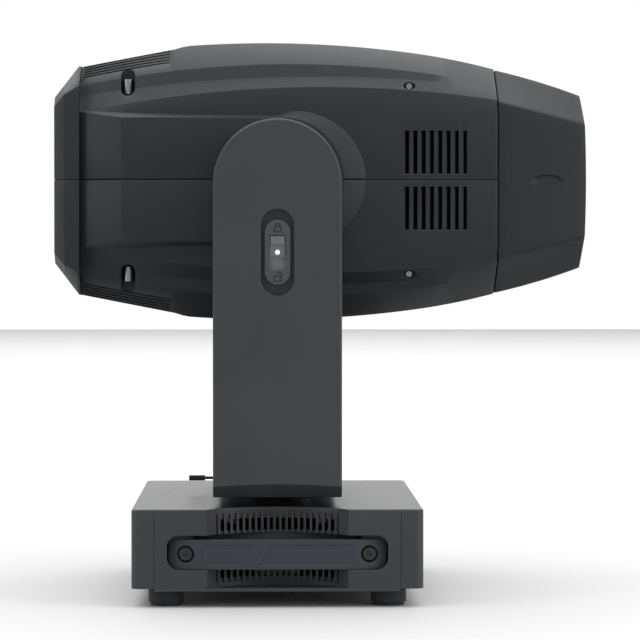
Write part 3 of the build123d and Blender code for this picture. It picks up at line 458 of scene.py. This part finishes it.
VENT_X = 166.95
VENT_PITCH = 8.73
VENT_WIDTH = 4.9
VENT_TALL = 45.2
VENT_MIDDLES = (29.1, -29.8)
VANE_FRONT = 121.5
VANE_BACK = 108.0
VANE_THICK = 1.1
POCKET = (-157.6, 103.5)
POCKET_DEEP = 83
SCREW = (139.6, 99.0)
SCREW_DEEP = 107
CUT_CLEAR = 140
PARTING_HALF_GAP = 0.35
GRILLE_HALF = (88, 60)
GRILLE_DEEP = 33
GROOVE_ENDS = (-205.0, -114.0)
GROOVE_PLACES = (0.06, 0.19, 0.32, 0.45, 0.58)


def head_block(low, high):
    """A box in millimetres about the tilt axis."""
    return block(TILT + Vector(low) * MM, TILT + Vector(high) * MM)


def vent_places():
    for side in SIDES:
        for middle in VENT_MIDDLES:
            for i in range(8):
                yield side, VENT_X + (i - 3.5) * VENT_PITCH, middle


def vent_cuts():
    shapes = []
    for side, x, middle in vent_places():
        low_y, high_y = sorted((side * 106.0, side * 140.0))
        half = VENT_WIDTH / 2
        shapes.append(head_block((x - half, low_y, middle - VENT_TALL / 2),
                                 (x + half, high_y, middle + VENT_TALL / 2)))
    return shapes


def oval(x, z, half_x, half_z, side, low_y, high_y, straight=0.0):
    """An oval prism across the head: half_x by half_z ends, with a straight stretch between them."""
    loop = []
    for i in range(28):
        turn = 2 * math.pi * i / 28
        lift = straight * (1 if math.sin(turn) >= 0 else -1)
        loop.append((x + half_x * math.cos(turn), z + half_z * math.sin(turn) + lift))
    ends = [[TILT + Vector((px, side * y, pz)) * MM for px, pz in loop] for y in (low_y, high_y)]
    return prism(*ends)


def pocket_cuts():
    shapes = []
    for side in SIDES:
        for up in SIDES:
            shapes.append(oval(POCKET[0], up * POCKET[1], 7.5, 7.5, side, POCKET_DEEP, CUT_CLEAR,
                               straight=7.0))
            shapes.append(oval(SCREW[0], up * SCREW[1], 6.5, 4.2, side, SCREW_DEEP, CUT_CLEAR))
    return shapes


def groove_cuts():
    """Fine lengthwise grooves on the rear slopes, between the top face and the shoulder line."""
    shapes = []
    for side in SIDES:
        for up in SIDES:
            for part in GROOVE_PLACES:
                ends = []
                for x in GROOVE_ENDS:
                    top, shoulder = body_quarter(x)[:2]
                    y = top[0] + part * (shoulder[0] - top[0])
                    z = top[1] + part * (shoulder[1] - top[1])
                    run = Vector((0, shoulder[0] - top[0], shoulder[1] - top[1])).normalized()
                    out = Vector((0, -run.z, run.y))
                    mid = Vector((x, y, z))
                    loop = [mid + run * a + out * b for a, b in ((-1, -1.8), (1, -1.8), (1, 3), (-1, 3))]
                    ends.append([TILT + Vector((v.x, side * v.y, up * v.z)) * MM for v in loop])
                shapes.append(prism(*ends))
    return shapes


def build_shells():
    """The upper and lower shells, parted at the tilt axis's height."""
    for name, up in (("upper", 1), ("lower", -1)):
        verts, faces = skin(body_rings())
        shell = make_piece(f"{name}_shell_skin", verts, faces, FINISH["head_shell"], None, None)
        other_half = [head_block((-400, -300, -300 * up), (400, 300, PARTING_HALF_GAP * up))] if up > 0 else [
            head_block((-400, -300, -PARTING_HALF_GAP), (400, 300, 300))]
        carve(shell, other_half)
        carve(shell, vent_cuts() + pocket_cuts())
        carve(shell, groove_cuts())
        across, tall = GRILLE_HALF
        carve(shell, [head_block((REAR - 5, -across, -tall), (REAR + GRILLE_DEEP, across, tall))])
        soften(shell, 0.9, 17)
        smooth_by_angle(shell, 24)
        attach(shell, "head")
        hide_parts(f"{name}_shell")


def build_louvres():
    """A slanted vane in every vent slot."""
    for side in SIDES:
        shapes = []
        for which, x, middle in vent_places():
            if which != side:
                continue
            half = VENT_WIDTH / 2
            low, high = middle - VENT_TALL / 2, middle + VENT_TALL / 2
            loop = [(x - half, VANE_FRONT), (x - half + VANE_THICK, VANE_FRONT),
                    (x + half, VANE_BACK), (x + half - VANE_THICK, VANE_BACK)]
            ends = [[TILT + Vector((px, side * py, z)) * MM for px, py in loop] for z in (low, high)]
            shapes.append(prism(*ends))
        place = "near" if side < 0 else "far"
        make_piece(f"vent_louvres_{place}", *gather(shapes), FINISH["head_shell"], "head", "head_shell")


def pad_loop(y, left, half, reach, side):
    """The side pad's outline: a bar with one rounded end about the tilt axis."""
    loop = [(left, half), (left, -half)]
    centre = (reach**2 - half**2) / (2 * reach)
    radius = reach - centre
    start = math.atan2(-half, -centre)
    span = -2 * start
    for i in range(61):
        turn = start + span * i / 60
        loop.append((centre + radius * math.cos(turn), radius * math.sin(turn)))
    return [TILT + Vector((x, side * y, z)) * MM for x, z in loop]


PAD_FOOT = (112, -217, 73, 129)
PAD_FACE = (136, -163, 65, 70)


def build_pads():
    """The raised pads that the yoke's arms cover, with a ramp at the rear and a sloped ring in front."""
    for side in SIDES:
        low, high = (pad_loop(*outline, side) for outline in (PAD_FOOT, PAD_FACE))
        name = "near" if side < 0 else "far"
        pad = make_piece(f"side_pad_{name}", *prism(low, high), FINISH["head_shell"], None, None)
        carve(pad, [head_block((-400, -300, -PARTING_HALF_GAP), (400, 300, PARTING_HALF_GAP))])
        soften(pad, 1.0, 15)
        smooth_by_angle(pad, 24)
        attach(pad, "head")


# ---------------------------------------------------------------- hood

HOOD_START = 233.4
RIM_RADIUS = 1340.0
RIM_FRONT = 328.8
BORE = 84.0
HOOD_STEPS = 12
LIP = 5.0
THROAT_X = 298
SEAT_X = 286
DIMPLE = (286.6, 106.1)
DIMPLE_LEAN = 0.266


def hood_quarter(x):
    along = x - HOOD_START
    top = 119.6 - 0.22 * along - 8.2e-4 * along**2
    wide = 120.4 - 0.20 * along - 6e-4 * along**2
    return [(PLATEAU - 0.04 * along, top), (wide, 82.0 - 0.24 * along)]


def octagon(quarter, per_side=10):
    """A closed octagon, evenly divided along each side, starting at the top right corner."""
    (a, b), (c, d) = quarter
    corners = [(a, b), (c, d), (c, -d), (a, -b), (-a, -b), (-c, -d), (-c, d), (-a, b)]
    loop = []
    for i, (y, z) in enumerate(corners):
        ny, nz = corners[(i + 1) % 8]
        loop += [(y + (ny - y) * k / per_side, z + (nz - z) * k / per_side) for k in range(per_side)]
    return loop


def rim_x(z):
    """The bulged front of the hood."""
    return RIM_FRONT - RIM_RADIUS + math.sqrt(RIM_RADIUS**2 - z**2)


def dimple_cuts():
    """A finger dimple in each side of the hood, square to its leaning face."""
    shapes = []
    for side in SIDES:
        along = Vector((1, -side * DIMPLE_LEAN, 0)).normalized()
        out = Vector((DIMPLE_LEAN, side, 0)).normalized()
        middle = Vector((DIMPLE[0], side * DIMPLE[1], 0))
        ends = []
        for lift, grow in ((0.0, 0.8), (8.0, 1.9)):
            loop = []
            for i in range(40):
                turn = 2 * math.pi * i / 40
                spot = middle + along * 16 * grow * math.cos(turn) + out * lift
                loop.append(TILT + (spot + Vector((0, 0, 5.7 * grow * math.sin(turn)))) * MM)
            ends.append(loop)
        shapes.append(prism(*ends))
    return shapes


def build_hood():
    rings = []
    for k in range(HOOD_STEPS + 1):
        part = k / HOOD_STEPS
        loop = octagon(hood_quarter(HOOD_START + part * (RIM_FRONT - HOOD_START)))
        ring = []
        for i, (y, z) in enumerate(loop):
            x = HOOD_START + part * (rim_x(z) - HOOD_START)
            y2, z2 = octagon(hood_quarter(x))[i]
            ring.append(TILT + Vector((x, y2, z2)) * MM)
        rings.append(ring)
    front = [v - TILT for v in rings[-1]]
    mouth, throat, seat, back = [], [], [], []
    for v in front:
        flat = Vector((0, v.y, v.z)).normalized()
        lip = flat * (BORE + LIP) * MM
        mouth.append(TILT + Vector((rim_x(lip.z / MM) * MM, lip.y, lip.z)))
        for ring, x in ((throat, THROAT_X), (seat, SEAT_X), (back, HOOD_START)):
            ring.append(TILT + Vector((x * MM, flat.y * BORE * MM, flat.z * BORE * MM)))
    rings += [mouth, throat, seat, back]
    count = len(rings[0])
    verts = [v for ring in rings for v in ring]
    faces = []
    for r in range(len(rings) - 1):
        a, b = r * count, (r + 1) * count
        for i in range(count):
            j = (i + 1) % count
            faces.append((a + i, b + i, b + j, a + j))
    a, b = (len(rings) - 1) * count, 0
    for i in range(count):
        j = (i + 1) % count
        faces.append((a + i, b + i, b + j, a + j))
    hood = make_piece("front_hood_skin", verts, faces, FINISH["hood"], None, None)
    soften(hood, 2.2, 20, segments=3)
    carve(hood, dimple_cuts())
    smooth_by_angle(hood, 30)
    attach(hood, "head")
    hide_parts("front_hood")


# ---------------------------------------------------------------- symbols on the tilt lock

def build_symbols():
    """A closed padlock above the slider and an open one below, raised a hair from the plate."""
    low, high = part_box("tilt_lock_plate")
    front = low.y
    middle = (low.z + high.z) / 2
    for name, up, swing in (("closed", 1, 0.0), ("open", -1, 0.9)):
        z = middle + up * 25.3 * MM
        shapes = []
        low_y, high_y = front - 0.15 * MM, front + 0.1 * MM
        for x0, x1, z0, z1 in ((-3.9, 3.9, -4.6, -3.6), (-3.9, 3.9, 0.4, 1.4), (-3.9, -2.9, -3.6, 0.4),
                               (2.9, 3.9, -3.6, 0.4)):
            shapes.append(block((x0 * MM, low_y, z + z0 * MM), (x1 * MM, high_y, z + z1 * MM)))
        loop = []
        for i in range(13):
            turn = math.pi * i / 12
            loop.append((math.cos(turn), math.sin(turn)))
        outer = [Vector((3.0 * c, 0, 1.4 + 3.6 * s)) for c, s in loop]
        inner = [Vector((1.9 * c, 0, 1.4 + 2.5 * s)) for c, s in reversed(loop)]
        arch = [Matrix.Rotation(swing * 0.5, 3, "Y") @ v for v in outer + inner]
        shift = Vector((0, 0, z)) + Vector((swing * 1.6 * MM, 0, swing * 1.0 * MM))
        ends = [[v * MM + shift + Vector((0, y, 0)) for v in arch] for y in (low_y, high_y)]
        shapes.append(prism(*ends))
        make_piece(f"padlock_symbol_{name}", *gather(shapes), ICON, "yoke", "lock_plate")


# ---------------------------------------------------------------- stage, light and camera


def build_stage():
    material, node, link = graph("studio_floor")
    place = node("ShaderNodeTexCoord").outputs["Object"]
    noise = node("ShaderNodeTexNoise", in_Scale=3.0, in_Detail=2.0)
    link(place, noise.inputs["Vector"])
    shader = node("ShaderNodeBsdfPrincipled")
    shader.inputs["Roughness"].default_value = 0.8
    shader.inputs["Specular IOR Level"].default_value = 0.1
    blend = scaled(node, link, noise.outputs["Fac"], 0.3, 0.7, 0.0, 1.0)
    tone = mix_of(node, link, blend, colour((0.445, 0.445, 0.448)), colour((0.460, 0.460, 0.463)))
    link(tone, shader.inputs["Base Color"])
    out = node("ShaderNodeOutputMaterial")
    link(shader.outputs["BSDF"], out.inputs["Surface"])
    reach = 14.0
    corners = [(-reach, -reach, FLOOR), (reach, -reach, FLOOR), (reach, reach, FLOOR), (-reach, reach, FLOOR)]
    floor = make_piece("studio_floor", corners, [(0, 1, 2, 3)], material, None, None)


def soft_light(name, place, target, size, power, tint=(1, 1, 1)):
    """A rectangular softbox that faces a point."""
    lamp = bpy.data.lights.new(name, "AREA")
    lamp.shape = "RECTANGLE"
    lamp.size, lamp.size_y = size
    lamp.energy = power
    lamp.color = tint
    obj = bpy.data.objects.new(name, lamp)
    bpy.context.scene.collection.objects.link(obj)
    obj.location = place
    obj.rotation_euler = (Vector(target) - Vector(place)).to_track_quat("-Z", "Y").to_euler()
    return obj


def build_lights():
    scene = bpy.context.scene
    world = bpy.data.worlds.new("studio")
    scene.world = world
    world.use_nodes = True
    back = world.node_tree.nodes["Background"]
    back.inputs["Color"].default_value = (1.0, 1.0, 1.0, 1)
    back.inputs["Strength"].default_value = 1.0
    aim = (0, 0, 0.36)
    soft_light("top_box", (0.0, 4.0, 4.2), (0, 4.0, 0), (9.0, 16.0), 860)
    soft_light("left_strip", (-2.2, -1.3, 0.7), aim, (0.6, 2.2), 14)
    soft_light("right_strip", (2.2, -1.3, 0.8), aim, (0.6, 2.2), 30)


def build_camera():
    """At the photograph's place: level with the yoke, a little left of it, with a long lens."""
    scene = bpy.context.scene
    camera = bpy.data.objects.new("camera", bpy.data.cameras.new("camera"))
    scene.collection.objects.link(camera)
    camera.data.lens = 164.4
    camera.data.sensor_width = 36.0
    camera.data.clip_end = 60.0
    camera.location = (-0.01483, -3.199, 0.3287)
    camera.rotation_euler = (math.radians(90 - 0.968), 0, math.radians(-1.117))
    scene.camera = camera
    scene.render.resolution_x = 640
    scene.render.resolution_y = 640
    scene.view_settings.view_transform = "Standard"
    scene.view_settings.look = "None"
    scene.render.film_transparent = False


dress_frame()
build_shells()
build_louvres()
build_pads()
build_hood()
build_symbols()
build_stage()
build_lights()
build_camera()
